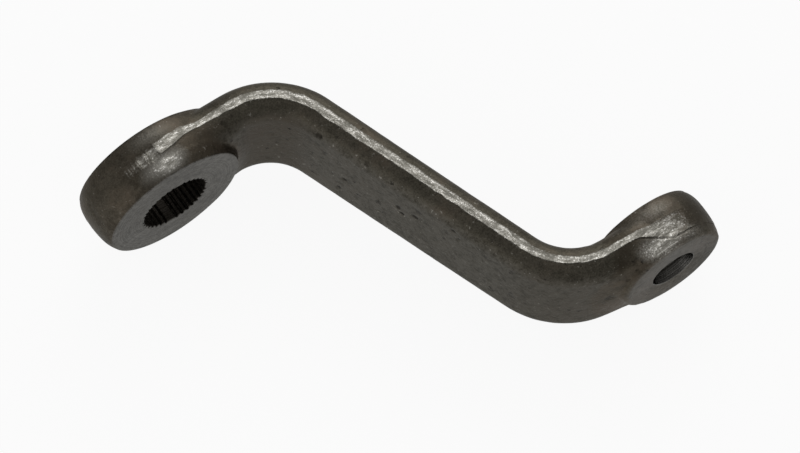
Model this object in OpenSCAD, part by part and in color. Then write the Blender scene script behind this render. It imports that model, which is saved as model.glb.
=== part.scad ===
// Pitman arm: one steel drop forging with a splined eye, a double bend and a tapered stud eye.
// All sizes in millimetres. The arm stands on its edge, +Z up, with both bores along Y.
// The origin lies on the splined bore's axis, in the plane where the two forging dies met.

/* [Layout] */
// distance between the two bore axes, measured square to the bores
eye_spacing = 152; // [146:0.5:158]
// distance between the two eyes, measured along the bores
eye_drop = 136; // [126:0.5:142]
// distance from the splined bore's axis to the corner of the first bend
first_bend = 57.3; // [55:0.1:60]
// distance from the corner of the second bend to the stud bore's axis
last_bend = 44.4; // [43:0.1:48]
// bend radius of the surface in the middle of the arm's thickness
bend_radius = 31; // [27:0.5:32]

/* [Splined eye] */
// outer radius of the splined eye at the parting line
spline_eye_radius = 33.3; // [31.5:0.1:34]
// height of the faced front above the parting line
spline_eye_front = 14; // [12.5:0.1:15]
// depth of the faced back below the parting line
spline_eye_back = 9; // [8.8:0.1:11]
// how far the rounded front wall reaches in from the outer radius
spline_front_round = 7.9; // [5:0.1:9]
// how far the rounded back wall reaches in from the outer radius
spline_back_round = 5; // [3:0.1:7]

/* [Stud eye] */
// outer radius of the stud eye at the parting line
stud_eye_radius = 24.8; // [24.6:0.1:26.5]
// height of the front face above the parting line
stud_eye_front = 13.2; // [12:0.1:14]
// depth of the back face below the parting line
stud_eye_back = 10; // [9.4:0.1:11]
// how far the rounded front wall reaches in from the outer radius
stud_front_round = 5.9; // [4:0.1:7]
// how far the rounded back wall reaches in from the outer radius
stud_back_round = 6.4; // [4:0.1:7]

/* [Arm] */
// step in from the splined eye's outer radius to the arm's edge
spline_shoulder = 5.7; // [2:0.1:7]
// step in from the stud eye's outer radius to the arm's edge
stud_shoulder = 0.4; // [0.2:0.1:3]
// thickness of the arm in front of the parting line
arm_front = 9.2; // [8:0.1:10]
// thickness of the arm behind the parting line
arm_back = 8.4; // [7:0.1:8.6]
// how far the rounded front edge reaches in from the parting line
front_edge = 7.8; // [6:0.1:12]
// how far the rounded back edge reaches in from the parting line
back_edge = 10.5; // [6:0.1:12]
// plan radius where the arm's edge runs out into the splined eye
spline_runout = 25; // [15:1:40]
// plan radius where the arm's edge runs out into the stud eye
stud_runout = 12; // [6:1:30]

/* [Flash] */
// width of the trimmed flash left on the parting line
flash_width = 2.8; // [2:0.1:3.6]
// how far the trimmed flash stands proud of the edge
flash_proud = 0.4; // [0.2:0.05:0.8]

/* [Bores] */
// full circle count of the serrations, blind ones included
serration_count = 36; // [36:9:45]
// one serration in this many is left out, which makes the blind splines
blind_every = 9; // [9:9]
// radius at the tips of the serrations
serration_tip = 14.85; // [14.5:0.05:15.5]
// depth of each serration groove
serration_depth = 1.1; // [0.8:0.05:1.3]
// share of one pitch that stays as land between two grooves
serration_land = 0.4; // [0.35:0.01:0.55]
// angle of a blind spline from the arm's direction, in degrees
blind_turn = -5; // [-45:0.5:45]
// radius of the tapered stud bore at the front face
stud_bore_mouth = 10; // [9:0.1:11]
// length over which the stud bore's diameter falls by one
stud_taper_ratio = 8; // [7:0.1:12]
// leg of the small chamfer at the stud bore's mouth
stud_bore_chamfer = 0.4; // [0.3:0.1:1]

/* [Hidden] */
$fn = 96;
// the raw eyes stand this share higher than the faced ones, and are cut off flat below their crown
raw_height = 1.12;
raw_flat = 1.08;
// powers of the rounded sections: arm edges, front eye walls, back eye walls, and the blend at a foot
arm_power = 2.3;
front_power = 2.6;
back_power = 2.4;
foot_power = 6;
half_flash = flash_width / 2;
half_start = spline_eye_radius - spline_shoulder;
half_end = stud_eye_radius - stud_shoulder;

// stretches of the middle line: straight, first bend, slope, second bend, straight
bend_angle = atan2(eye_drop, eye_spacing - first_bend - last_bend);
bend_leg = bend_radius * tan(bend_angle / 2);
bend_arc = bend_radius * bend_angle * PI / 180;
slope_length = eye_drop / sin(bend_angle) - 2 * bend_leg;
run_a = first_bend - bend_leg;
run_b = run_a + bend_arc;
run_c = run_b + slope_length;
run_d = run_c + bend_arc;
run_end = run_d + last_bend - bend_leg;
taper = (half_end - half_start) / run_end;

// where the eyes' rings of points meet the arm's rings, measured from each bore axis
spline_seam = spline_eye_radius + 1.2;
stud_seam = stud_eye_radius + 1.7;

// turn about the splined bore's axis that brings both eyes down to one level
rest_turn = asin((spline_eye_radius - stud_eye_radius) / eye_spacing);

// numbers of steps: eye circle, runout arc, runout line, edge, face, foot, bend, slope
n_circle = 17;
n_runout = 4;
n_line = 4;
n_edge = 7;
n_face = 6;
n_foot = 6;
n_bend = 9;
n_slope = 5;
n_eye = n_circle + n_runout + n_line;
n_column = 2 * (n_edge + 2);
n_ring = 2 * n_column + 2 * (n_face - 1);
edge_steps = [for (k = [0 : n_edge]) pow(k / n_edge, 2.2)];
// places on an eye's rounded wall, as shares of its reach: end of the edge, below and above the faced rim
far_reach = 0.15;
under_rim = 0.28;
over_rim = 0.5;

function mix(a, b, t) = a + (b - a) * t;
function clip(x, a, b) = max(a, min(b, x));
function ease(x, a, b) = let (t = clip((x - a) / (b - a), 0, 1)) t * t * (3 - 2 * t);

// rounded section: rises from 0 at the edge to 1 at the reach, square to the parting plane at the edge
function rounded(x, p) = let (c = clip(x, 0, 1)) pow(1 - pow(1 - c, p), 1 / p);

// a point given by its run along the middle line, its width and its height, with the front toward -Y
function turned(s) = bend_angle * (clip((s - run_a) / bend_arc, 0, 1) - clip((s - run_c) / bend_arc, 0, 1));
function along(s) =
    let (t1 = bend_angle * clip((s - run_a) / bend_arc, 0, 1),
         t2 = bend_angle * clip((s - run_c) / bend_arc, 0, 1),
         slope = clip(s - run_b, 0, slope_length),
         x2 = bend_radius * (sin(bend_angle) - sin(bend_angle - t2)),
         y2 = bend_radius * (cos(bend_angle - t2) - cos(bend_angle)))
    [min(s, run_a) + bend_radius * sin(t1) + slope * cos(bend_angle) + x2 + max(s - run_d, 0),
     bend_radius * (1 - cos(t1)) + slope * sin(bend_angle) + y2];
function placed(s, z, h) =
    let (p = along(s), a = turned(s)) [p[0] - h * sin(a), -(p[1] + h * cos(a)), z];

// height of the raw surface on the front or the back: the arm and both eyes, blended at the feet
function raised(s, z, d, front) =
    let (arm = (front ? arm_front : arm_back) * rounded(d / (front ? front_edge : back_edge), arm_power)
             * ease(s, -12, 14) * ease(run_end - s, -10, 12),
         p = front ? front_power : back_power,
         top1 = front ? spline_eye_front : spline_eye_back,
         top2 = front ? stud_eye_front : stud_eye_back,
         in1 = (spline_eye_radius - norm([s, z])) / (front ? spline_front_round : spline_back_round),
         in2 = (stud_eye_radius - norm([s - run_end, z])) / (front ? stud_front_round : stud_back_round),
         eye1 = top1 * raw_height * rounded(in1, p),
         eye2 = top2 * raw_height * rounded(in2, p),
         sum = pow(arm, foot_power) + pow(eye1, foot_power) + pow(eye2, foot_power))
    clip(pow(sum, 1 / foot_power), half_flash + 0.2, raw_flat * (s < run_end / 2 ? top1 : top2));

// outline of an eye from its far side to its seam: distance toward the arm, half width, and outward direction
function eye_outline(radius, half, slope, runout, seam) =
    let (g = atan(slope), level = half * cos(g),
         cx = sqrt(pow(radius + runout, 2) - pow(level + runout, 2)),
         psi = atan2(level + runout, cx),
         x0 = cx * cos(g) - level * sin(g))
    concat(
        [for (i = [0 : n_circle]) let (a = mix(180, psi + g, i / n_circle))
            [radius * cos(a), radius * sin(a), cos(a), sin(a)]],
        [for (i = [1 : n_runout])
            let (a = mix(psi + 180, 270, i / n_runout),
                 x = cx + runout * cos(a), z = level + runout + runout * sin(a))
            [x * cos(g) - z * sin(g), x * sin(g) + z * cos(g),
             -cos(a) * cos(g) + sin(a) * sin(g), -cos(a) * sin(g) - sin(a) * cos(g)]],
        [for (i = [1 : n_line]) let (x = mix(x0, seam, i / n_line))
            [x, half + slope * x, -sin(g), cos(g)]]);
spline_outline = eye_outline(spline_eye_radius, half_start, taper, spline_runout, spline_seam);
stud_outline = eye_outline(stud_eye_radius, half_end, -taper, stud_runout, stud_seam);

// how far in from the outline an eye's edge reaches: as far as the arm's own edge, or to the eye's wall
function eye_round(first, front) = first ? (front ? spline_front_round : spline_back_round)
                                         : (front ? stud_front_round : stud_back_round);
function edge_reach(first, o, front) =
    let (r = (first ? spline_eye_radius : stud_eye_radius) - far_reach * eye_round(first, front),
         out = o[0] * o[2] + o[1] * o[3],
         rest = out * out - (o[0] * o[0] + o[1] * o[1] - r * r),
         arm = front ? front_edge : back_edge)
    rest > 0 ? min(arm, out - sqrt(rest)) : arm;

// one column over the edge of an eye: front edge inward to outward, the flash, back edge outward to inward
function eye_point(first, c, d) =
    let (i = abs(n_eye - c), side = c <= n_eye ? 1 : -1,
         o = (first ? spline_outline : stud_outline)[i], x = o[0] - d * o[2], z = o[1] - d * o[3])
    [first ? x : run_end - x, side * z];
function eye_reach(first, c, front) =
    edge_reach(first, (first ? spline_outline : stud_outline)[abs(n_eye - c)], front);
function eye_at(first, c, d, front) =
    let (p = eye_point(first, c, d), sign = front ? 1 : -1)
    placed(p[0], p[1], sign * (d <= 0 ? half_flash : raised(p[0], p[1], d, front)));
function eye_column(first, c) = concat(
    [for (k = [n_edge : -1 : 0]) eye_at(first, c, edge_steps[k] * eye_reach(first, c, true), true)],
    [eye_at(first, c, -flash_proud, true), eye_at(first, c, -flash_proud, false)],
    [for (k = [0 : n_edge]) eye_at(first, c, edge_steps[k] * eye_reach(first, c, false), false)]);

// one ring round the arm: upper edge, back face downward, lower edge, front face upward
function arm_at(s, side, d, front) =
    let (z = side * (half_start + taper * s - d), sign = front ? 1 : -1)
    placed(s, z, sign * (d <= 0 ? half_flash : raised(s, z, d, front)));
function arm_column(s, side) = concat(
    [for (k = [n_edge : -1 : 0]) arm_at(s, side, edge_steps[k] * front_edge, true)],
    [arm_at(s, side, -flash_proud, true), arm_at(s, side, -flash_proud, false)],
    [for (k = [0 : n_edge]) arm_at(s, side, edge_steps[k] * back_edge, false)]);
function arm_face(s, front) =
    let (half = half_start + taper * s - (front ? front_edge : back_edge), sign = front ? 1 : -1)
    [for (j = [1 : n_face - 1]) let (z = half * (1 - 2 * j / n_face))
        placed(s, z, sign * raised(s, z, half_start + taper * s - abs(z), front))];
function flipped(v) = [for (i = [len(v) - 1 : -1 : 0]) v[i]];
function arm_ring(s) =
    concat(arm_column(s, 1), arm_face(s, false), flipped(arm_column(s, -1)), flipped(arm_face(s, true)));

arm_runs = concat(
    [spline_seam],
    [for (i = [0 : n_bend]) mix(max(run_a, spline_seam + 1), run_b, i / n_bend)],
    [for (i = [1 : n_slope - 1]) mix(run_b, run_c, i / n_slope)],
    [for (i = [0 : n_bend]) mix(run_c, run_end - stud_seam, i / n_bend)]);
n_runs = len(arm_runs);

// closed loop of an eye's inner edge points on one side: arm face downward, then round the far side upward
function loop_point(first, m, front) =
    let (s = first ? spline_seam : run_end - stud_seam, half = half_start + taper * s,
         inner = half - (front ? front_edge : back_edge))
    m <= n_face ? [s, inner * (1 - 2 * m / n_face)]
        : let (c = 2 * n_eye - (m - n_face)) eye_point(first, c, eye_reach(first, c, front));
n_loop = n_face + 2 * n_eye;
function foot_radius(first, outer, k, front) =
    let (r = first ? spline_eye_radius : stud_eye_radius, round = eye_round(first, front))
    k < n_foot - 2 ? mix(outer, r - under_rim * round, (k + 1) / (n_foot - 2))
    : k == n_foot - 2 ? r - over_rim * round : r - 1.02 * round;
function foot_ring(first, k, front) =
    let (cx = first ? 0 : run_end, sign = front ? 1 : -1)
    [for (m = [0 : n_loop - 1])
        let (q = loop_point(first, m, front), v = q - [cx, 0], r = norm(v),
             p = [cx, 0] + v * (foot_radius(first, r, k, front) / r),
             d = half_start + taper * p[0] - abs(p[1]))
        placed(p[0], p[1], sign * raised(p[0], p[1], max(d, 0), front))];

function eye_points(first) = concat(
    [for (c = [1 : 2 * n_eye - 1]) each eye_column(first, c)],
    [for (k = [0 : n_foot - 1]) each foot_ring(first, k, true)],
    [for (k = [0 : n_foot - 1]) each foot_ring(first, k, false)]);
blank_points = concat([for (s = arm_runs) each arm_ring(s)], eye_points(true), eye_points(false));

// numbering of the points: rings first, then the splined eye, then the stud eye
n_eye_points = (2 * n_eye - 1) * n_column + 2 * n_foot * n_loop;
function ring_id(r, j) = r * n_ring + (j + n_ring) % n_ring;
function eye_base(first) = n_runs * n_ring + (first ? 0 : n_eye_points);
function seam_ring(first) = first ? 0 : n_runs - 1;
function column_id(first, c, p) =
    c == 0 ? ring_id(seam_ring(first), p)
    : c == 2 * n_eye ? ring_id(seam_ring(first), 2 * n_column + n_face - 2 - p)
    : eye_base(first) + (c - 1) * n_column + p;
function loop_id(first, m, front) =
    let (w = m % n_loop, p = front ? 0 : n_column - 1)
    w == 0 ? column_id(first, 0, p)
    : w < n_face ? ring_id(seam_ring(first), front ? n_ring - w : n_column + w - 1)
    : column_id(first, 2 * n_eye - (w - n_face), p);
function foot_id(first, k, m, front) =
    k < 0 ? loop_id(first, m, front)
    : eye_base(first) + (2 * n_eye - 1) * n_column + ((front ? 0 : n_foot) + k) * n_loop + m % n_loop;

function quad(a, b, c, d, flip) = flip ? [[a, c, b], [a, d, c]] : [[a, b, c], [a, c, d]];
tube_faces = [for (r = [0 : n_runs - 2], j = [0 : n_ring - 1])
    each quad(ring_id(r, j), ring_id(r + 1, j), ring_id(r + 1, j + 1), ring_id(r, j + 1), true)];
function edge_faces(first) = [for (c = [0 : 2 * n_eye - 1], p = [0 : n_column - 2])
    each quad(column_id(first, c, p), column_id(first, c + 1, p),
              column_id(first, c + 1, p + 1), column_id(first, c, p + 1), !first)];
function foot_faces(first, front) = [for (k = [-1 : n_foot - 2], m = [0 : n_loop - 1])
    each quad(foot_id(first, k, m, front), foot_id(first, k, m + 1, front),
              foot_id(first, k + 1, m + 1, front), foot_id(first, k + 1, m, front), first != front)];
function cap_face(first, front) =
    let (f = [for (m = [0 : n_loop - 1]) foot_id(first, n_foot - 1, m, front)])
    first == front ? f : flipped(f);
blank_faces = concat(tube_faces,
    edge_faces(true), foot_faces(true, true), foot_faces(true, false),
    edge_faces(false), foot_faces(false, true), foot_faces(false, false),
    [for (first = [true, false], front = [true, false]) cap_face(first, front)]);

module forged_blank() {
    polyhedron(points = blank_points, faces = blank_faces, convexity = 6);
}

// a round cutter along Y, from y_from toward y_to
module cutter(x, y_from, y_to, r_from, r_to) {
    translate([x, y_from, 0]) rotate([y_to < y_from ? 90 : -90, 0, 0])
        cylinder(h = abs(y_to - y_from), r1 = r_from, r2 = r_to);
}

// facing cuts on both sides of both eyes
facing_margin = 0.8;
module facing_cuts() {
    r1 = spline_eye_radius + facing_margin;
    r2 = stud_eye_radius + facing_margin;
    over1 = (raw_flat - 1) * spline_eye_front + 1;
    over2 = (raw_flat - 1) * stud_eye_front + 1;
    cutter(0, -spline_eye_front, -spline_eye_front - over1, r1, r1);
    cutter(0, spline_eye_back, spline_eye_back + over1, r1, r1);
    cutter(eye_spacing, -eye_drop - stud_eye_front, -eye_drop - stud_eye_front - over2, r2, r2);
    cutter(eye_spacing, -eye_drop + stud_eye_back, -eye_drop + stud_eye_back + over2, r2, r2);
}

// serrated bore: a true cylinder at the tips with a straight groove at every pitch but the blind ones
bore_over = 2;
pitch_angle = 360 / serration_count;
module serrated_section() {
    mouth = (1 - serration_land) * pitch_angle / 2;
    root = serration_tip + serration_depth;
    floor_half = serration_tip * sin(mouth) * 0.22;
    circle(r = serration_tip);
    for (i = [0 : serration_count - 1])
        if (i % blind_every != 0)
            rotate(blind_turn + i * pitch_angle)
                polygon([[serration_tip - 1.2, -serration_tip * sin(mouth)],
                         [serration_tip * cos(mouth), -serration_tip * sin(mouth)],
                         [root, -floor_half], [root, floor_half],
                         [serration_tip * cos(mouth), serration_tip * sin(mouth)],
                         [serration_tip - 1.2, serration_tip * sin(mouth)]]);
}
module serrated_bore() {
    depth = spline_eye_front + spline_eye_back + 2 * bore_over;
    translate([0, spline_eye_back + bore_over, 0]) rotate([90, 0, 0])
        linear_extrude(height = depth) serrated_section();
}

// tapered stud bore, widest at the front, with a small chamfer at its mouth
module stud_bore() {
    front = -eye_drop - stud_eye_front;
    back = -eye_drop + stud_eye_back;
    fall = 1 / (2 * stud_taper_ratio);
    cutter(eye_spacing, front - bore_over, back + bore_over,
           stud_bore_mouth + bore_over * fall, stud_bore_mouth - (back - front + bore_over) * fall);
    cutter(eye_spacing, front - bore_over, front + stud_bore_chamfer,
           stud_bore_mouth + stud_bore_chamfer + bore_over, stud_bore_mouth - stud_bore_chamfer * fall);
}

module pitman_arm() {
    color([0.27, 0.26, 0.25]) rotate([0, rest_turn, 0]) difference() {
        forged_blank();
        facing_cuts();
        serrated_bore();
        stud_bore();
    }
}

pitman_arm();
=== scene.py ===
"""Dressed model of a steering pitman arm: one drop-forged steel arm with a splined eye and a taper-bored eye.

The skin is one closed surface. It is worked out in the forging's own chart: the run along the bent middle
line, the width across it and the height above or below the parting plane. Lengths are in millimetres until
the points go into the mesh, in metres.
"""

import logging
import math
from dataclasses import dataclass, field
from enum import Enum
from typing import Any, NamedTuple

import bpy
import numpy as np
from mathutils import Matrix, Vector

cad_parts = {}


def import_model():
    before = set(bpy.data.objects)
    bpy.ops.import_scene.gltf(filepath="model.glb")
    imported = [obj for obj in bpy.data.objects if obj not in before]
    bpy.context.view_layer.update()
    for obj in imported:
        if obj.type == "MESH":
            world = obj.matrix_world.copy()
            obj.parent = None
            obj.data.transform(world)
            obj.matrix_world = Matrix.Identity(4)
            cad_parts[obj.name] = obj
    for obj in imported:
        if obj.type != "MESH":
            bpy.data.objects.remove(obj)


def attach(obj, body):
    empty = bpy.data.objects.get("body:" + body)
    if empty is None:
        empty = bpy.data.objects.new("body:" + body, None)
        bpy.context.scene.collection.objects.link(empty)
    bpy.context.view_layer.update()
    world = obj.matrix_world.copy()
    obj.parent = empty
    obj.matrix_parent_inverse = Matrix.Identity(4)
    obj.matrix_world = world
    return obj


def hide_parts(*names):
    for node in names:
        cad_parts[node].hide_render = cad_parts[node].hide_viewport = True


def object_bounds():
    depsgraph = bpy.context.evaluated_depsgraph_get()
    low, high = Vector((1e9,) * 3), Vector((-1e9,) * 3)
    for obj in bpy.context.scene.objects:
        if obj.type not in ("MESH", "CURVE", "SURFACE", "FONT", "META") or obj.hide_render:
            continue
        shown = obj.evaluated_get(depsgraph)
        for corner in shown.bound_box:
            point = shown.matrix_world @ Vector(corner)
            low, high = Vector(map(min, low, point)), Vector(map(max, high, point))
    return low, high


Array = np.ndarray
Colour = tuple[float, float, float, float]
Place = tuple[float, float, float]
Span = tuple[float, float]
Stretch = tuple[float, float, float, float]
LOG = logging.getLogger("pitman_arm")
MM = 0.001
TABLE = 4096                               # random values to a noise lattice, a power of two
SPREAD = (73856093, 19349663, 83492791)    # large primes that spread the lattice's corners over the table


class Side(Enum):
    """Which die pressed a surface."""

    FRONT = 1
    BACK = -1


class End(Enum):
    """Which eye of the arm is meant."""

    SPLINE = "spline"
    STUD = "stud"


class Mark(Enum):
    """Marks that every point of the skin carries, each a mesh attribute of that name."""

    TRIM = "trim"        # 1 on the sheared flash
    FACED = "faced"      # 1 on faces and bores that were cut, less on the rougher stud eye
    BORE = "bore"        # 1 on the bore walls
    REAMED = "reamed"    # 1 on the stud bore's wall
    CHATTER = "chatter"  # 1 where the shear left cross marks
    RUBBED = "rubbed"    # 1 where the scale is rubbed off an eye's wall, -1 where it is stained
    DENT = "dent"        # 1 at the bottom of a dent
    RUN = "run"          # distance along the outline
    LIFT = "lift"        # height above the parting plane
    SPIN = "spin"        # distance from the nearest bore's axis


def ease(x: Array, a: float, b: float) -> Array:
    """Returns 0 below a, 1 above b and a smooth cubic step between them."""
    t = np.clip((x - a) / (b - a), 0.0, 1.0)
    return t * t * (3.0 - 2.0 * t)


def between(x: Array, a: float, b: float, c: float, d: float) -> Array:
    """Returns a smooth rise from a to b times a smooth fall from c to d."""
    return ease(x, a, b) * (1.0 - ease(x, c, d))


def rounded(x: Array, power: float) -> Array:
    """Returns a rounded section: 0 at the edge, square to the parting plane there, 1 at the full reach."""
    return (1.0 - (1.0 - np.clip(x, 0.0, 1.0)) ** power) ** (1.0 / power)


def inset(base: Array, out: Array, depth: Array) -> tuple[Array, Array]:
    """Returns run and width at depths in from the outline, one row to each of its places."""
    return base[:, :1] - depth * out[:, :1], base[:, 1:] - depth * out[:, 1:]


def meeting(x: Array, y: Array, level: Array) -> Array:
    """Finds where each row of y, which rises, meets its levels, on straight lines between the samples.

    Args:
        x: places of the samples, one row each.
        y: rising values at them.
        level: wanted values, one row each.

    Returns:
        The places, in the shape of level.
    """
    rows = np.arange(len(x))[:, None]
    k = np.clip((y[:, None, :] < level[:, :, None]).sum(axis=2), 1, x.shape[1] - 1)
    share = np.clip((level - y[rows, k - 1]) / (y[rows, k] - y[rows, k - 1]), 0.0, 1.0)
    return x[rows, k - 1] + share * (x[rows, k] - x[rows, k - 1])


def lattice_noise(points: Array, cell: float, seed: int) -> Array:
    """Gives smooth noise: random values on a cubic lattice, blended by a cubic step along each axis.

    Args:
        points: places, with x, y and z in the last axis.
        cell: spacing of the lattice.
        seed: which set of random values is used.

    Returns:
        One value from -1 to 1 for each place.
    """
    table = np.random.default_rng(seed).uniform(-1.0, 1.0, TABLE)
    grid = points / cell
    base = np.floor(grid).astype(np.int64)
    part = grid - base
    part = part * part * (3.0 - 2.0 * part)
    total = np.zeros(points.shape[:-1])
    for corner in np.ndindex(2, 2, 2):
        at = (base + np.array(corner)) * np.array(SPREAD)
        key = at[..., 0] ^ at[..., 1] ^ at[..., 2]
        weight = np.where(np.array(corner) == 1, part, 1.0 - part).prod(axis=-1)
        total = total + weight * table[key & (TABLE - 1)]
    return total


class Ripple(NamedTuple):
    """Layered noise: its depth, the cells of its widest layer, its random values and its number of layers."""

    deep: float
    cell: float
    seed: int
    layers: int

    def noise(self, points: Array) -> Array:
        """Adds the layers, each half as wide and half as strong as the one before.

        Args:
            points: places, with x, y and z in the last axis.

        Returns:
            One value for each place, mostly from -1 to 1.
        """
        total = np.zeros(points.shape[:-1])
        for layer in range(self.layers):
            total = total + lattice_noise(points, self.cell / 2**layer, self.seed + layer) / 2**layer
        return total

    def swing(self, points: Array) -> Array:
        """Returns the noise about 0, mostly up to the depth either way."""
        return self.deep * self.noise(points)

    def sunk(self, points: Array) -> Array:
        """Returns the noise held between 0 and the depth."""
        return self.deep * np.clip(0.5 + 0.5 * self.noise(points), 0.0, 1.0)


def even_steps(x: Array, y: Array, count: int) -> tuple[Array, Array]:
    """Finds places at equal steps of length along many polylines at once.

    Args:
        x: first coordinate of the polylines, one row each.
        y: second coordinate, of the same shape.
        count: how many places, both ends among them.

    Returns:
        Both coordinates of the places, one row to a polyline.
    """
    rows = np.arange(len(x))[:, None]
    step = np.hypot(np.diff(x, axis=1), np.diff(y, axis=1)) + 1e-9
    length = np.concatenate([np.zeros((len(x), 1)), np.cumsum(step, axis=1)], axis=1)
    length = length / length[:, -1:]
    wanted = np.linspace(0.0, 1.0, count)[None, :] + 0.0 * rows
    found = np.searchsorted((length + 2.0 * rows).ravel(), (wanted + 2.0 * rows).ravel(), side="right")
    low = np.clip(found.reshape(wanted.shape) - 1 - rows * x.shape[1], 0, x.shape[1] - 2)
    share = np.clip((wanted - length[rows, low]) / (length[rows, low + 1] - length[rows, low]), 0.0, 1.0)
    x, y = (c[rows, low] * (1.0 - share) + c[rows, low + 1] * share for c in (x, y))
    return x, y


@dataclass(frozen=True)
class EyeDie:
    """What one die gives an eye, in millimetres."""

    top: float     # height of the faced end
    wall: float    # how far in the rounded wall reaches
    rim: float     # how much of the faced rim is broken


@dataclass(frozen=True)
class EyeSizes:
    """Sizes of one eye, in millimetres."""

    radius: float
    shoulder: float    # how much more it is than the arm's half width
    runout: float      # radius of the arc from its wall into the arm's edge
    seam_gap: float    # from its wall to the arm's first ring
    faced: float       # how clean its faces are cut, from 0 to 1
    front: EyeDie
    back: EyeDie

    def die(self, side: Side) -> EyeDie:
        """Returns what the die of that side gives."""
        return self.front if side is Side.FRONT else self.back

    @property
    def seam(self) -> float:
        """Distance from the bore axis at which the eye's columns meet the arm's rings."""
        return self.radius + self.seam_gap


@dataclass(frozen=True)
class ArmDie:
    """What one die gives the arm, in millimetres."""

    height: float    # of the arm's flat
    edge: float      # how far in the arm's rounded edge reaches
    power: float     # roundness of the eyes' walls
    share: float     # share of an eye's wall that belongs to the columns over its edge


class Runs(NamedTuple):
    """Runs along the middle line at which its stretches begin, and the stud eye's axis, in millimetres."""

    first_bend: float
    slope: float
    last_bend: float
    last_straight: float
    stud: float


@dataclass(frozen=True)
class ArmSizes:
    """Sizes of the whole forging, in millimetres."""

    eye_spacing: float = 152.0
    eye_drop: float = 136.0
    first_bend: float = 57.3
    last_bend: float = 44.4
    bend_radius: float = 31.0
    spline: EyeSizes = EyeSizes(
        radius=33.3, shoulder=5.7, runout=25.0, seam_gap=1.2, faced=1.0,
        front=EyeDie(top=14.0, wall=7.9, rim=0.6), back=EyeDie(top=9.0, wall=5.0, rim=0.45),
    )
    stud: EyeSizes = EyeSizes(
        radius=24.8, shoulder=0.4, runout=12.0, seam_gap=1.7, faced=0.5,
        front=EyeDie(top=13.2, wall=5.9, rim=1.6), back=EyeDie(top=10.0, wall=6.4, rim=0.8),
    )
    front: ArmDie = ArmDie(height=9.2, edge=7.8, power=2.6, share=0.2)
    back: ArmDie = ArmDie(height=8.4, edge=10.5, power=2.4, share=0.15)
    arm_power: float = 2.3               # roundness of the arm's edge
    spline_fade: Span = (-12.0, 14.0)    # from each bore's axis, where the arm's own section begins
    stud_fade: Span = (-10.0, 12.0)
    raw_height: float = 1.12             # height of an eye before it is faced, beside the faced one
    foot_power: float = 6.0              # how sharply arm and eyes meet
    foot_rise: float = 0.19              # share by which the front climbs toward an eye's foot
    foot_reach: float = 11.0             # how far before the foot that begins
    rim_roll: float = 1.3                # width of a broken rim, beside its height
    rim_flat: float = 0.35               # width of the first flat ring inside it
    rim_faced: float = 0.6               # how much of the facing the broken rim shows

    def eye(self, end: End) -> EyeSizes:
        """Returns the sizes of that eye."""
        return self.spline if end is End.SPLINE else self.stud

    def centre(self, end: End | None) -> float:
        """Returns the run of that eye's bore axis, and 0 for the arm."""
        return self.runs.stud if end is End.STUD else 0.0

    def die(self, side: Side) -> ArmDie:
        """Returns what the die of that side gives the arm."""
        return self.front if side is Side.FRONT else self.back

    @property
    def angle(self) -> float:
        """Angle of the slope, in radians."""
        return math.atan2(self.eye_drop, self.eye_spacing - self.first_bend - self.last_bend)

    @property
    def leg(self) -> float:
        """Length that a bend takes from the straights on both its sides."""
        return self.bend_radius * math.tan(self.angle / 2.0)

    @property
    def arc(self) -> float:
        """Length of the middle line in one bend."""
        return self.bend_radius * self.angle

    @property
    def slope(self) -> float:
        """Length of the straight slope between the bends."""
        return self.eye_drop / math.sin(self.angle) - 2.0 * self.leg

    @property
    def runs(self) -> Runs:
        """Adds up the stretches of the middle line.

        Returns:
            The runs at which they begin.
        """
        a = self.first_bend - self.leg
        b = a + self.arc
        c = b + self.slope
        d = c + self.arc
        return Runs(a, b, c, d, d + self.last_bend - self.leg)

    @property
    def half_start(self) -> float:
        """Half width of the arm at the splined bore's axis."""
        return self.spline.radius - self.spline.shoulder

    @property
    def taper(self) -> float:
        """Change of the half width along the run."""
        return (self.stud.radius - self.stud.shoulder - self.half_start) / self.runs.stud

    @property
    def rest_turn(self) -> float:
        """Turn about the splined bore that brings both eyes down to one level, in radians."""
        return math.asin((self.spline.radius - self.stud.radius) / self.eye_spacing)

    def half(self, s: Array) -> Array:
        """Returns the arm's half width at a run."""
        return self.half_start + self.taper * s


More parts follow.
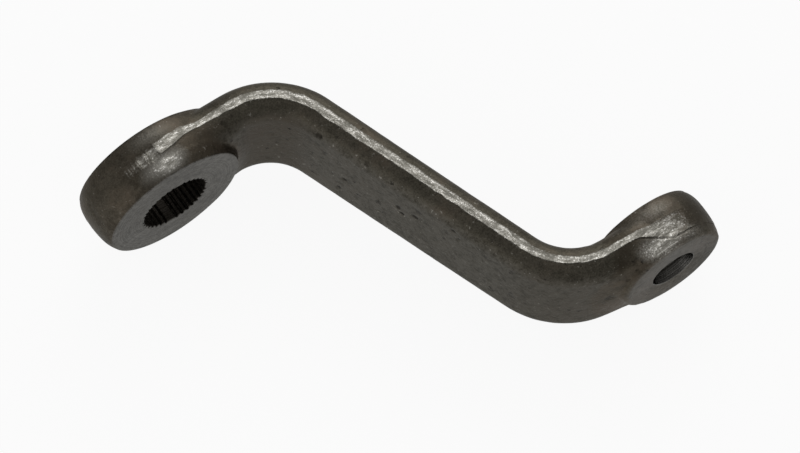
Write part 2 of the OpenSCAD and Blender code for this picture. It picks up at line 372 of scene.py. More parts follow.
@dataclass(frozen=True)
class FlashSizes:
    """Sizes of the trimmed flash in millimetres, and where it changes round an eye, in degrees from +X."""

    half: float = 1.95
    proud: float = 0.4                        # how far it stands out at most
    least_proud: float = 0.02
    least_back: float = 0.3
    back_proud: float = 0.75                  # how proud its back edge is, beside the front one
    front_tear: Ripple = Ripple(0.22, 2.6, 11, 2)
    back_tear: Ripple = Ripple(0.35, 3.4, 17, 2)
    proud_tear: Ripple = Ripple(0.18, 5.0, 23, 1)
    tear_level: float = 7.0                   # where the noise of the tears is cut through
    back_shift: float = 40.0                  # how far the back edge's noise is moved
    lower_shift: float = 500.0                # how far the arm's lower edge is moved along the noise
    late_span: Span = (12.0, 4.0)             # before and after the second bend, where it narrows
    late_front: float = 0.75
    late_back: float = 0.35
    edge_marks: Span = (0.4, 0.5)             # its mark on the walls' first points, front and back
    front_mark: Span = (0.72, 1.4)            # its mark on its front edge, and the growth from there
    back_mark: Span = (0.5, 1.6)

    narrow: float = 0.6                       # on the splined eye: narrower on the runout
    narrow_span: Stretch = (34.0, 48.0, 56.0, 70.0)
    open_front: float = 2.6                   # it opens toward the front
    open_back: float = 1.2
    open_span: Stretch = (64.0, 90.0, 92.5, 94.5)
    stair: tuple[float, ...] = (93.5, 100.5, 103.0, 108.5, 110.2, 114.2, 115.9, 117.3, 118.6, 120.2, 122.0)
    stair_span: Stretch = (92.5, 94.5, 119.0, 124.0)    # it breaks off into a stair of cross marks
    stair_fade: Span = (98.0, 117.0)
    stair_sink: float = 0.75
    stair_lift: float = 3.2                   # height of the stair's middle, and half its height

    leaf_span: Stretch = (6.0, 18.0, 84.0, 121.0)       # on the stud eye: a leaf-shaped patch on top
    leaf_front: float = 7.8
    leaf_back: float = 1.2
    leaf_back_to: Span = (96.0, 118.0)
    cut_from: Span = (56.0, 68.0)             # it is cut straight toward the arm only
    lap_span: Stretch = (56.0, 72.0, 110.0, 122.0)      # the lap and its groove
    lap_groove: float = 0.4
    lap_width: float = 0.9
    lap_proud: float = 0.55
    lap_proud_from: Span = (8.0, 24.0)
    dull_to: Span = (80.0, 112.0)             # its shine fades in two steps
    duller_to: Span = (62.0, 82.0)


@dataclass
class Flash:
    """The trimmed flash at places on the outline, one value to a place."""

    front: Array          # how far it goes to the front
    back: Array           # how far it goes to the back
    front_proud: Array    # how far its front edge stands out
    back_proud: Array     # how far its back edge stands out
    cross: Array          # strength of the cross marks
    stair: Array          # place on a step of their stair, from 0 to 1
    strength: Array       # strength of its mark
    flat: Array           # 1 where it is cut straight, 0 where it follows the wall
    groove: Array         # 1 along the lap


class Spot(NamedTuple):
    """A rounded spot on the skin: its middle, its half widths and its strength."""

    x: float
    y: float
    wide: float
    tall: float
    much: float


def spread(spots: tuple[Spot, ...], x: Array, y: Array, power: float) -> Array:
    """Adds up spots, each dying away by a power of the squared distance from its middle.

    Args:
        spots: the spots.
        x: first coordinate of the points.
        y: second coordinate of the points.
        power: 1 for a soft spot, more for one with a steeper edge.

    Returns:
        One value for each point.
    """
    total = np.zeros(x.shape)
    for spot in spots:
        away = ((x - spot.x) / spot.wide) ** 2 + ((y - spot.y) / spot.tall) ** 2
        total = total + spot.much * np.exp(-(away**power))
    return total


@dataclass(frozen=True)
class WearSizes:
    """Unevenness, pits, dents and rubbed spots of the forged skin, in millimetres and degrees."""

    uneven: Ripple = Ripple(0.22, 26.0, 3, 3)
    flaky: Ripple = Ripple(0.05, 3.2, 31, 2)
    torn: Ripple = Ripple(0.12, 1.7, 41, 2)
    pit_seed: int = 77
    pit_count: int = 90
    pit_width: Span = (0.7, 1.7)
    pit_deep: Span = (0.06, 0.26)
    dent_deep: float = 0.5            # depth at which a dent's mark is 1
    dent_power: float = 1.5           # how steep the dents' edges are
    dent_above: Span = (4.0, 6.0)     # heights between which dents begin, so only the front has them
    dents: tuple[Spot, ...] = (       # by run and width, with their depths
        Spot(120.2, 5.8, 1.3, 1.8, 0.55), Spot(122.3, 2.4, 1.7, 1.2, 0.5), Spot(128.6, 7.0, 2.0, 1.5, 0.55),
        Spot(131.4, 8.6, 0.9, 1.3, 0.3), Spot(94.0, -1.3, 1.7, 1.2, 0.5), Spot(91.8, -12.0, 1.2, 1.6, 0.45),
        Spot(146.6, 17.6, 1.6, 1.3, 0.45), Spot(149.6, 13.6, 1.1, 1.5, 0.35),
        Spot(111.5, -9.0, 1.0, 1.1, 0.25),
    )
    spline_spots: tuple[Spot, ...] = (    # rubbed, by angle and height; stained where below 0
        Spot(91.0, 9.8, 7.0, 2.4, 0.85), Spot(95.0, 8.8, 19.0, 3.8, 0.5), Spot(56.0, 8.5, 14.0, 5.0, -0.5),
        Spot(92.0, -4.5, 14.0, 3.6, 0.16), Spot(128.0, 6.0, 20.0, 6.0, -0.2),
        Spot(-88.0, 8.0, 16.0, 4.0, 0.4),
    )
    stud_spots: tuple[Spot, ...] = (
        Spot(99.0, 9.2, 15.0, 3.4, 1.2), Spot(114.0, 8.6, 14.0, 3.6, 0.5), Spot(92.0, -4.8, 20.0, 3.6, 0.2),
        Spot(70.0, 10.8, 14.0, 2.4, 0.3), Spot(140.0, 9.0, 16.0, 6.0, -0.4), Spot(-92.0, 7.0, 16.0, 4.0, 0.4),
    )


@dataclass(frozen=True)
class SerrationSizes:
    """Sizes of the serrated bore, in millimetres and degrees."""

    count: int = 36
    blind_every: int = 9
    tip: float = 14.85
    depth: float = 1.1
    land: float = 0.4      # share of a pitch that stays as a tooth's tip
    floor: float = 0.22    # width of a groove's floor, beside its mouth
    turn: float = -5.0
    chamfer: float = 0.35

    def section(self) -> tuple[Array, Array]:
        """Works out the section: five places to a pitch, out to the groove's floor except at the blind ones.

        Returns:
            The places' angles in radians, rising, and their radii.
        """
        pitch = 2.0 * math.pi / self.count
        mouth = (1.0 - self.land) * pitch / 2.0
        root = self.tip + self.depth
        bottom = math.asin(self.tip * math.sin(mouth) * self.floor / root)
        offsets = np.array([-pitch / 2.0, -mouth, -bottom, bottom, mouth])
        radii = np.array([self.tip, self.tip, root, root, self.tip])
        number = np.arange(self.count)
        cut = (number % self.blind_every != 0)[:, None]
        angles = math.radians(self.turn) + number[:, None] * pitch + offsets[None, :]
        return angles.ravel(), np.where(cut, radii[None, :], self.tip).ravel()


@dataclass(frozen=True)
class TaperSizes:
    """Sizes of the tapered stud bore, widest at the front, in millimetres."""

    mouth: float = 10.0
    ratio: float = 8.0
    chamfer: float = 0.3
    back_break: float = 0.25
    count: int = 144
    turn: float = 0.01     # of a ring's first point, in radians, so that it lies on no line of the outline


@dataclass(frozen=True)
class SkinSteps:
    """Numbers of steps of the skin's grids."""

    circle: int = 126
    runout: int = 14
    line: int = 8
    edge: int = 20
    band: int = 8
    face: int = 40
    foot: int = 9
    rim: int = 3
    arm: int = 220
    bore: int = 14
    ream: int = 20
    dense: int = 160

    @property
    def eye(self) -> int:
        """Steps from an eye's far side to its seam."""
        return self.circle + self.runout + self.line

    @property
    def column(self) -> int:
        """Points of one column over the edge."""
        return 2 * (self.edge + 1) + self.band + 1


class Skin:
    """Blocks of points in the forging's chart, with their marks and faces, that make one closed surface."""

    def __init__(self) -> None:
        """Starts with no points."""
        self.charts: list[Array] = []
        self.marks: list[Array] = []
        self.quads: list[Array] = []
        self.tris: list[Array] = []
        self.count = 0

    def add(self, chart: Array, **marks: Any) -> Array:
        """Adds a block of points.

        Args:
            chart: run, width and height in the last axis.
            **marks: values of the marks, by their attribute names; those not given are 0.

        Returns:
            The points' numbers, in the block's shape.
        """
        shape = chart.shape[:-1]
        columns = [np.broadcast_to(np.asarray(marks.get(m.value, 0.0), float), shape).ravel() for m in Mark]
        self.charts.append(chart.reshape(-1, 3))
        self.marks.append(np.stack(columns, axis=1))
        numbers = self.count + np.arange(int(np.prod(shape))).reshape(shape)
        self.count += numbers.size
        return numbers

    def grid(self, numbers: Array, turned_over: bool = False) -> None:
        """Adds the quads of a grid of points.

        Args:
            numbers: the points' numbers, in rows.
            turned_over: True to turn the quads' outer side over.
        """
        a, b, c, d = numbers[:-1, :-1], numbers[1:, :-1], numbers[1:, 1:], numbers[:-1, 1:]
        faces = np.stack([a, b, c, d], axis=-1).reshape(-1, 4)
        self.quads.append(faces[:, ::-1] if turned_over else faces)

    def zip_loops(
        self, outer: Array, outer_angle: Array, inner: Array, inner_angle: Array, over: bool
    ) -> None:
        """Closes the ring between two loops about one axis, taking the next point of either by its angle.

        Args:
            outer: point numbers of the outer loop.
            outer_angle: their angles in radians.
            inner: point numbers of the inner loop.
            inner_angle: their angles in radians.
            over: True where the ring is seen from behind.
        """
        outer_turn, inner_turn = outer_angle % (2.0 * math.pi), inner_angle % (2.0 * math.pi)
        out, ins = outer[np.argsort(outer_turn)], inner[np.argsort(inner_turn)]
        steps = np.concatenate([np.sort(outer_turn), np.sort(inner_turn)])
        is_out = np.concatenate([np.ones(len(out), bool), np.zeros(len(ins), bool)])
        is_out = is_out[np.argsort(steps, kind="stable")]
        i = (np.cumsum(is_out) - 1) % len(out)
        j = (np.cumsum(~is_out) - 1) % len(ins)
        before_i, before_j = (i - 1) % len(out), (j - 1) % len(ins)
        outward = np.stack([out[before_i], out[i], ins[j]], axis=-1)[is_out]
        inward = np.stack([out[i], ins[j], ins[before_j]], axis=-1)[~is_out]
        faces = np.concatenate([outward, inward])
        self.tris.append(faces[:, ::-1] if over else faces)

    @property
    def chart(self) -> Array:
        """All points in the chart."""
        return np.concatenate(self.charts)

    def to_mesh(self, name: str, points: Array) -> bpy.types.Mesh:
        """Makes the mesh of all faces.

        Args:
            name: the mesh's name.
            points: the points' places, in millimetres.

        Returns:
            The mesh, in metres.
        """
        quads, tris = np.concatenate(self.quads), np.concatenate(self.tris)
        corners = np.concatenate([quads.ravel(), tris.ravel()]).astype(np.int32)
        sizes = np.concatenate([np.full(len(quads), 4), np.full(len(tris), 3)])
        starts = np.concatenate([[0], np.cumsum(sizes)[:-1]]).astype(np.int32)
        mesh = bpy.data.meshes.new(name)
        mesh.vertices.add(len(points))
        mesh.vertices.foreach_set("co", (points * MM).astype(np.float32).ravel())
        mesh.loops.add(len(corners))
        mesh.loops.foreach_set("vertex_index", corners)
        mesh.polygons.add(len(sizes))
        mesh.polygons.foreach_set("loop_start", starts)
        mesh.update(calc_edges=True)
        return mesh


@dataclass
class ForgedArm:
    """The pitman arm: a forged blank with a trimmed flash, faced eyes, a serrated bore and a tapered bore."""

    name: str = "forged_arm"
    sizes: ArmSizes = ArmSizes()
    trim: FlashSizes = FlashSizes()
    wear: WearSizes = WearSizes()
    serration: SerrationSizes = SerrationSizes()
    taper_bore: TaperSizes = TaperSizes()
    steps: SkinSteps = SkinSteps()
    sharp_angle: float = 38.0    # degrees between faces from which an edge is drawn sharp
    skin: Skin = field(default_factory=Skin)
    bores: dict[End, Array] = field(default_factory=dict)          # point numbers of the bore walls
    bore_angles: dict[End, Array] = field(default_factory=dict)    # angles of a ring's points

    def placed(self, chart: Array) -> Array:
        """Carries points of the chart along the middle line: straight, arc, slope, arc, straight.

        Height is set off square to the line, toward the front for positive values, and the whole is turned
        about the splined bore so that both eyes stand on one level.

        Args:
            chart: run, width and height in the last axis.

        Returns:
            x, y and z in millimetres.
        """
        z, runs = self.sizes, self.sizes.runs
        s, w, h = chart[..., 0], chart[..., 1], chart[..., 2]
        t1 = z.angle * np.clip((s - runs.first_bend) / z.arc, 0.0, 1.0)
        t2 = z.angle * np.clip((s - runs.last_bend) / z.arc, 0.0, 1.0)
        slope = np.clip(s - runs.slope, 0.0, z.slope)
        last = np.maximum(s - runs.last_straight, 0.0)
        x1 = np.minimum(s, runs.first_bend) + z.bend_radius * np.sin(t1)
        y1 = z.bend_radius * (1.0 - np.cos(t1))
        x2 = z.bend_radius * (math.sin(z.angle) - np.sin(z.angle - t2))
        y2 = z.bend_radius * (np.cos(z.angle - t2) - math.cos(z.angle))
        x = x1 + slope * math.cos(z.angle) + x2 + last - h * np.sin(t1 - t2)
        y = -(y1 + slope * math.sin(z.angle) + y2 + h * np.cos(t1 - t2))
        cos, sin = math.cos(z.rest_turn), math.sin(z.rest_turn)
        return np.stack([x * cos + w * sin, y, w * cos - x * sin], axis=-1)

    def raised(self, s: Array, w: Array, depth: Array, side: Side) -> Array:
        """Gives the raw height: a power sum of the arm's rounded section and both eyes' rounded walls.

        On the front the arm climbs a little, by the square of the nearness, toward each eye's foot.

        Args:
            s: run along the middle line.
            w: width across it.
            depth: distance in from the outline.
            side: front or back die.

        Returns:
            Height above the parting plane, always positive.
        """
        z, die = self.sizes, self.sizes.die(side)
        arm = die.height * rounded(depth / die.edge, z.arm_power)
        arm = arm * ease(s, *z.spline_fade) * ease(z.runs.stud - s, *z.stud_fade)
        walls = 0.0
        for end in End:
            eye, away = z.eye(end), np.hypot(s - z.centre(end), w)
            if side is Side.FRONT:
                near = np.clip((eye.radius + z.foot_reach - away) / z.foot_reach, 0.0, 1.0)
                arm = arm * (1.0 + z.foot_rise * near**2)
            wall = rounded((eye.radius - away) / eye.die(side).wall, die.power)
            walls = walls + (eye.die(side).top * z.raw_height * wall) ** z.foot_power
        return (arm**z.foot_power + walls) ** (1.0 / z.foot_power)

    def outline(self, end: End) -> tuple[Array, Array]:
        """Draws half an eye's outline: its circle, the tangent runout arc and the arm's tapered edge line.

        Args:
            end: which eye.

        Returns:
            Distance toward the arm and half width, from the far side to the seam, and outward directions.
        """
        z, n = self.sizes, self.steps
        eye = z.eye(end)
        half = z.half(z.centre(end))
        slope = z.taper if end is End.SPLINE else -z.taper
        g = math.atan(slope)
        level = half * math.cos(g)
        cx = math.sqrt((eye.radius + eye.runout) ** 2 - (level + eye.runout) ** 2)
        psi = math.atan2(level + eye.runout, cx)
        a = np.linspace(math.pi, psi + g, n.circle + 1)
        circle = np.stack([eye.radius * np.cos(a), eye.radius * np.sin(a), np.cos(a), np.sin(a)], axis=1)
        a = np.linspace(psi + math.pi, 1.5 * math.pi, n.runout + 1)[1:]
        place = np.stack([cx + eye.runout * np.cos(a), level + eye.runout + eye.runout * np.sin(a)], axis=1)
        out = np.stack([-np.cos(a), -np.sin(a)], axis=1)
        turn = np.array([[math.cos(g), math.sin(g)], [-math.sin(g), math.cos(g)]])
        runout = np.concatenate([place @ turn, out @ turn], axis=1)
        x = np.linspace(cx * math.cos(g) - level * math.sin(g), eye.seam, n.line + 1)[1:]
        line = np.stack([x, half + slope * x, 0.0 * x - math.sin(g), 0.0 * x + math.cos(g)], axis=1)
        whole = np.concatenate([circle, runout, line])
        return whole[:, :2], whole[:, 2:]

    def flash(self, end: End | None, angle: Array, run: Array, s: Array) -> Flash:
        """Trims the flash: an even band with torn edges, narrower past the second bend, changed at the eyes.

        Args:
            end: which eye, or None for the arm.
            angle: angle round the eye from +X, in degrees.
            run: distance along the outline.
            s: run along the middle line.

        Returns:
            The flash at those places.
        """
        f, runs = self.trim, self.sizes.runs
        none, full = np.zeros(run.shape), np.ones(run.shape)
        along = np.stack([run, none, none + f.tear_level], axis=-1)
        late = ease(s, runs.last_bend - f.late_span[0], runs.last_straight + f.late_span[1])
        proud = f.proud * (1.0 - f.proud_tear.deep + f.proud_tear.swing(along))
        flash = Flash(
            front=f.half - f.late_front * late + f.front_tear.swing(along),
            back=f.half - f.late_back * late + f.back_tear.swing(along + f.back_shift),
            front_proud=proud, back_proud=f.back_proud * proud,
            cross=none, stair=none, strength=full, flat=full, groove=none,
        )
        if end is End.SPLINE:
            self.trim_spline_eye(flash, np.abs(angle))
        if end is End.STUD:
            self.trim_stud_eye(flash, angle)
        flash.back = np.maximum(flash.back, f.least_back)
        flash.front_proud = np.minimum(flash.front_proud, f.proud)
        flash.back_proud = np.minimum(flash.back_proud, f.proud)
        return flash

    def trim_spline_eye(self, flash: Flash, far: Array) -> None:
        """Narrows the flash on the splined eye's runout, opens it, and breaks it off into dying cross marks.

        Args:
            flash: the flash to change.
            far: angle round the eye on either side, in degrees.
        """
        f = self.trim
        ends = 1.0 - ease(far, *f.stair_span[:2])
        narrow, opens = f.narrow * between(far, *f.narrow_span), between(far, *f.open_span)
        stair = np.array(f.stair)
        step = np.clip(np.searchsorted(stair, far), 1, len(stair) - 1)
        flash.stair = np.clip((far - stair[step - 1]) / (stair[step] - stair[step - 1]), 0.0, 1.0)
        flash.cross = between(far, *f.stair_span) * (1.0 - 0.6 * ease(far, *f.stair_fade))
        flash.front = flash.front - narrow + f.open_front * opens
        flash.back = flash.back - narrow - f.open_back * opens
        flash.front_proud = f.least_proud + flash.front_proud * ends
        flash.back_proud = f.least_proud + flash.back_proud * ends * (1.0 - 0.7 * opens)
        flash.strength = ends

    def trim_stud_eye(self, flash: Flash, angle: Array) -> None:
        """Opens the flash into a leaf-shaped sheared patch on the stud eye, with only the lap going on round.

        Args:
            flash: the flash to change.
            angle: angle round the eye, in degrees.
        """
        f = self.trim
        upper = (angle > 0.0).astype(float)
        leaf = upper * between(angle, *f.leaf_span)
        flash.front = flash.front + f.leaf_front * leaf
        flash.back = flash.back - f.leaf_back * upper * (1.0 - ease(angle, *f.leaf_back_to))
        flash.groove = upper * between(angle, *f.lap_span)
        flash.flat = ease(np.abs(angle), *f.cut_from)
        lap = np.maximum(flash.flat, f.lap_proud * upper * ease(angle, *f.lap_proud_from))
        flash.front_proud = f.least_proud + flash.front_proud * lap * (1.0 - 0.3 * leaf)
        flash.back_proud = f.least_proud + flash.back_proud * flash.flat * (1.0 - 0.9 * leaf)
        dull = 0.5 * (1.0 - ease(angle, *f.dull_to)) + 0.22 * (1.0 - ease(angle, *f.duller_to))
        flash.strength = flash.flat * (1.0 - upper * dull)

    def rubbed(self, end: End | None, chart: Array) -> Array:
        """Marks soft round spots on the eyes' walls: scale rubbed off, or stained where below 0.

        Args:
            end: which eye, or None for the arm.
            chart: points in the chart.

        Returns:
            -1 to 1 for each point.
        """
        if end is None:
            return np.zeros(chart.shape[:-1])
        spots = self.wear.spline_spots if end is End.SPLINE else self.wear.stud_spots
        angle = np.degrees(np.arctan2(chart[..., 1], chart[..., 0] - self.sizes.centre(end)))
        return np.clip(spread(spots, angle, chart[..., 2], 1.0), -1.0, 1.0)

    def dents(self, chart: Array) -> Array:
        """Returns the depth of the handling dents, which only the front has, at points of the chart."""
        deep = spread(self.wear.dents, chart[:, 0], chart[:, 1], self.wear.dent_power)
        return deep * ease(chart[:, 2], *self.wear.dent_above)

    def columns(
        self, end: End | None, base: Array, out: Array, reach: dict[Side, Array], run: Array
    ) -> tuple[Array, dict[str, Array]]:
        """Works out columns over the edge: front wall outward, the trimmed band, back wall inward.

        A wall follows the raw height over the distance in from the outline, in equal steps of its own length,
        from where the band ends. The band is a straight cut between its two raised corners, or follows the
        wall where nothing was cut off. The lap's groove and the stair of shear marks move the wall in.

        Args:
            end: which eye, or None for the arm.
            base: run and width on the outline, one row to a column.
            out: outward directions there.
            reach: how far in the walls go.
            run: distance along the outline.

        Returns:
            The columns in the chart, and their marks.
        """
        n, f = self.steps, self.trim
        centre = self.sizes.centre(end)
        angle = np.degrees(np.arctan2(base[:, 1], base[:, 0] - centre))
        flash = self.flash(end, angle, run, base[:, 0])
        limit = {Side.FRONT: flash.front[:, None], Side.BACK: flash.back[:, None]}
        t = np.linspace(0.0, 1.0, n.band + 1)[None, :]
        band_height = limit[Side.FRONT] * (1.0 - t) - limit[Side.BACK] * t
        grow = np.linspace(0.0, 1.0, n.dense)[None, :] ** 3
        start: dict[Side, Array] = {}
        follow: dict[Side, Array] = {}
        depths: dict[Side, Array] = {}
        heights: dict[Side, Array] = {}
        for side in Side:
            depth = reach[side][:, None] * grow
            height = self.raised(*inset(base, out, depth), depth, side)
            start[side] = meeting(depth, height, limit[side])
            follow[side] = meeting(depth, height, np.maximum(band_height * side.value, 0.0))
            depth = start[side] + (reach[side][:, None] - start[side]) * grow
            height = self.raised(*inset(base, out, depth), depth, side)
            depths[side], heights[side] = even_steps(depth, height, n.edge + 1)
        above = (heights[Side.FRONT] - limit[Side.FRONT]) / f.lap_width
        lapped = depths[Side.FRONT] + f.lap_groove * flash.groove[:, None] * np.exp(-(above**2))
        flat = flash.flat[:, None]
        proud = flash.front_proud[:, None] * (1.0 - t) + flash.back_proud[:, None] * t
        straight = start[Side.FRONT] * (1.0 - t) + start[Side.BACK] * t
        follows = np.where(band_height > 0.0, follow[Side.FRONT], follow[Side.BACK])
        band_depth = straight * flat + follows * (1.0 - flat) - proud
        depth = np.concatenate([lapped[:, ::-1], band_depth, depths[Side.BACK]], axis=1)
        height = np.concatenate([heights[Side.FRONT][:, ::-1], band_height, -heights[Side.BACK]], axis=1)
        chatter = flash.cross[:, None] * np.exp(-(((height - f.stair_lift) / f.stair_lift) ** 4))
        depth = depth + f.stair_sink * chatter * flash.stair[:, None]
        chart = np.stack([*inset(base, out, depth), height], axis=-1)
        on_band = np.zeros(depth.shape)
        last = n.edge + n.band + 2
        on_front = np.minimum(f.front_mark[0] + f.front_mark[1] * t, 1.0)
        on_band[:, n.edge + 1:last] = on_front * np.minimum(f.back_mark[0] + f.back_mark[1] * (1.0 - t), 1.0)
        on_band[:, n.edge], on_band[:, last] = f.edge_marks
        marks = {
            Mark.TRIM.value: on_band * flash.strength[:, None],
            Mark.CHATTER.value: chatter * (0.45 + 0.55 * flash.stair[:, None] ** 2),
            Mark.RUBBED.value: self.rubbed(end, chart),
            Mark.RUN.value: run[:, None],
            Mark.LIFT.value: height,
            Mark.SPIN.value: np.hypot(chart[..., 0] - centre, chart[..., 1]),
        }
        return chart, marks

    def build_arm(self) -> Array:
        """Works out the arm's rings: upper edge, back face downward, lower edge, front face upward.

        Returns:
            Point numbers, one row to a ring.
        """
        z, n = self.sizes, self.steps
        s = np.linspace(z.spline.seam, z.runs.stud - z.stud.seam, n.arm)
        half = z.half(s)
        reach = {side: np.full(n.arm, z.die(side).edge) for side in Side}
        edges: list[tuple[Array, dict[str, Array]]] = []
        for up, shift in ((1.0, 0.0), (-1.0, self.trim.lower_shift)):
            base = np.stack([s, up * half], axis=1)
            out = np.stack([0.0 * s, 0.0 * s + up], axis=1)
            edges.append(self.columns(None, base, out, reach, s + shift))
        (upper, upper_marks), (lower, lower_marks) = edges
        faces: dict[Side, Array] = {}
        for side in Side:
            inner = (half - z.die(side).edge)[:, None]
            w = inner * (1.0 - 2.0 * np.arange(1, n.face)[None, :] / n.face)
            run = s[:, None] + 0.0 * w
            height = side.value * self.raised(run, w, half[:, None] - np.abs(w), side)
            faces[side] = np.stack([run, w, height], axis=-1)
        ring = np.concatenate([upper, faces[Side.BACK], lower[:, ::-1], faces[Side.FRONT][:, ::-1]], axis=1)
        blank = np.zeros((n.arm, n.face - 1))
        marks: dict[str, Array] = {}
        for mark in (Mark.TRIM.value, Mark.CHATTER.value, Mark.RUBBED.value):
            above, below = upper_marks[mark], lower_marks[mark][:, ::-1]
            marks[mark] = np.concatenate([above, blank, below, blank], axis=1)
        from_spline = np.hypot(ring[..., 0], ring[..., 1])
        from_stud = np.hypot(ring[..., 0] - z.runs.stud, ring[..., 1])
        spin = np.minimum(from_spline, from_stud)
        numbers = self.skin.add(ring, lift=ring[..., 2], run=s[:, None], spin=spin, **marks)
        self.skin.grid(np.concatenate([numbers, numbers[:, :1]], axis=1))
        return numbers

    def edge_reach(self, eye: EyeSizes, place: Array, out: Array, side: Side) -> Array:
        """Finds how far in an eye's edge goes: to the arm's own edge reach, or to the eye's wall if nearer.

        Args:
            eye: the eye's sizes.
            place: places on the outline about the bore axis.
            out: outward directions there.
            side: front or back.

        Returns:
            One reach for each place.
        """
        die = self.sizes.die(side)
        radius = eye.radius - die.share * eye.die(side).wall
        outward = (place * out).sum(axis=1)
        rest = outward**2 - ((place**2).sum(axis=1) - radius**2)
        to_wall = outward - np.sqrt(np.maximum(rest, 0.0))
        return np.where(rest > 0.0, np.minimum(to_wall, die.edge), die.edge)

    def build_eye(self, end: End, rings: Array) -> None:
        """Works out an eye: columns round its edge, joined to the arm's end ring, and both its faces.

        Args:
            end: which eye.
            rings: the arm's point numbers.
        """
        z, n = self.sizes, self.steps
        eye, centre = z.eye(end), z.centre(end)
        first = end is End.SPLINE
        place, out = self.outline(end)
        length = np.concatenate([[0.0], np.cumsum(np.hypot(*np.diff(place, axis=0).T))])
        run = eye.seam - (length[-1] - length)
        number = np.arange(1, 2 * n.eye)
        turn = np.abs(n.eye - number)
        up = np.where(number <= n.eye, 1.0, -1.0)
        reach = {side: self.edge_reach(eye, place, out, side)[turn] for side in Side}
        flip = np.stack([np.full(len(up), 1.0 if first else -1.0), up], axis=1)
        base = place[turn] * flip + np.array([centre, 0.0])
        along = run[turn] if first else centre - run[turn]
        chart, marks = self.columns(end, base, out[turn] * flip, reach, along)
        numbers = self.skin.add(chart, **marks)

        ring = rings[0] if first else rings[-1]
        lower = ring[n.column + n.face - 1:2 * n.column + n.face - 1][::-1]
        whole = np.concatenate([ring[None, :n.column], numbers, lower[None, :]])
        self.skin.grid(whole, turned_over=first)
        for side in Side:
            front = side is Side.FRONT
            across = ring[-1:-n.face:-1] if front else ring[n.column:n.column + n.face - 1]
            p = 0 if front else n.column - 1
            loop = np.concatenate([[whole[0, p]], across, whole[::-1, p][:-1]])
            self.build_face(end, side, loop)

    def build_face(self, end: End, side: Side, loop: Array) -> None:
        """Climbs from an eye's edge loop to the faced rim, breaks the rim and closes the face to the bore.

        Each point of the loop moves straight toward the bore axis over the raw height until it meets the cut
        face. The broken rim is a quarter of an ellipse.

        Args:
            end: which eye.
            side: front or back.
            loop: point numbers of the loop.
        """
        z, n = self.sizes, self.steps
        eye, centre = z.eye(end), z.centre(end)
        die = eye.die(side)
        ray = self.skin.chart[loop][:, :2] - np.array([centre, 0.0])
        radius = np.hypot(ray[:, :1], ray[:, 1:])
        ray = ray / radius

        def height_at(r: Array) -> Array:
            """Returns the raw height on the rays at radii r."""
            s, w = centre + ray[:, :1] * r, ray[:, 1:] * r
            return self.raised(s, w, np.maximum(z.half(s) - np.abs(w), 0.0), side)

        edge = die.top - die.rim
        grow = np.linspace(0.0, 1.0, n.dense)[None, :]
        r = radius + (eye.radius - die.wall - radius) * grow
        rim = meeting(r, height_at(r), np.full(radius.shape, edge))
        r = radius + (rim - radius) * grow
        r, height = even_steps(r, height_at(r), n.foot + 1)
        bend = np.linspace(0.0, 0.5 * math.pi, n.rim + 1)[None, 1:]
        roll = z.rim_roll * die.rim
        r = np.concatenate([r[:, 1:], rim - roll * (1.0 - np.cos(bend)), rim - roll - z.rim_flat], axis=1)
        bent = edge + die.rim * np.sin(bend) + 0.0 * rim
        height = np.concatenate([height[:, 1:], bent, bent[:, -1:]], axis=1)
        chart = np.stack([centre + ray[:, :1] * r, ray[:, 1:] * r, side.value * height], axis=-1)
        faced = np.zeros(r.shape)
        faced[:, -2:] = eye.faced
        faced[:, -n.rim - 1:-2] = z.rim_faced * eye.faced
        rub = self.rubbed(end, chart) * (1.0 - faced)
        numbers = self.skin.add(chart, faced=faced, rubbed=rub, lift=chart[..., 2], spin=r, run=centre)
        grid = np.concatenate([loop[:, None], numbers], axis=1)
        over = (end is End.SPLINE) == (side is Side.FRONT)
        self.skin.grid(np.concatenate([grid, grid[:1]]), turned_over=over)
        mouth = self.bores[end][0 if side is Side.FRONT else -1]
        angle = np.arctan2(ray[:, 1], ray[:, 0])
        self.skin.zip_loops(numbers[:, -1], angle, mouth, self.bore_angles[end], side is Side.BACK)

    def build_bores(self) -> None:
        """Works out both bore walls, ring by ring from the front mouth to the back one.

        The serrated bore repeats its section down its depth, and a cone breaks its tips at both mouths. The
        stud bore narrows evenly toward the back, and its mouths are widened by their breaks.
        """
        z, n = self.sizes, self.steps
        top, low, cut = z.spline.front.top, -z.spline.back.top, self.serration.chamfer
        angles, radii = self.serration.section()
        heights = np.concatenate([[top], np.linspace(top - cut, low + cut, n.bore), [low]])
        r = np.repeat(radii[None, :], len(heights), axis=0)
        r[[0, -1]] = np.maximum(r[[0, -1]], self.serration.tip + cut)
        self.add_bore(End.SPLINE, angles, r, heights)
        bore = self.taper_bore
        top, low = z.stud.front.top, -z.stud.back.top
        angles = np.linspace(0.0, 2.0 * math.pi, bore.count, endpoint=False) + bore.turn
        levels = np.linspace(top - bore.chamfer, low + bore.back_break, n.ream)
        heights = np.concatenate([[top], levels, [low]])
        r = bore.mouth - (top - heights) / (2.0 * bore.ratio)
        r[0] = r[0] + bore.chamfer
        r[-1] = r[-1] + bore.back_break
        self.add_bore(End.STUD, angles, np.repeat(r[:, None], bore.count, axis=1), heights)

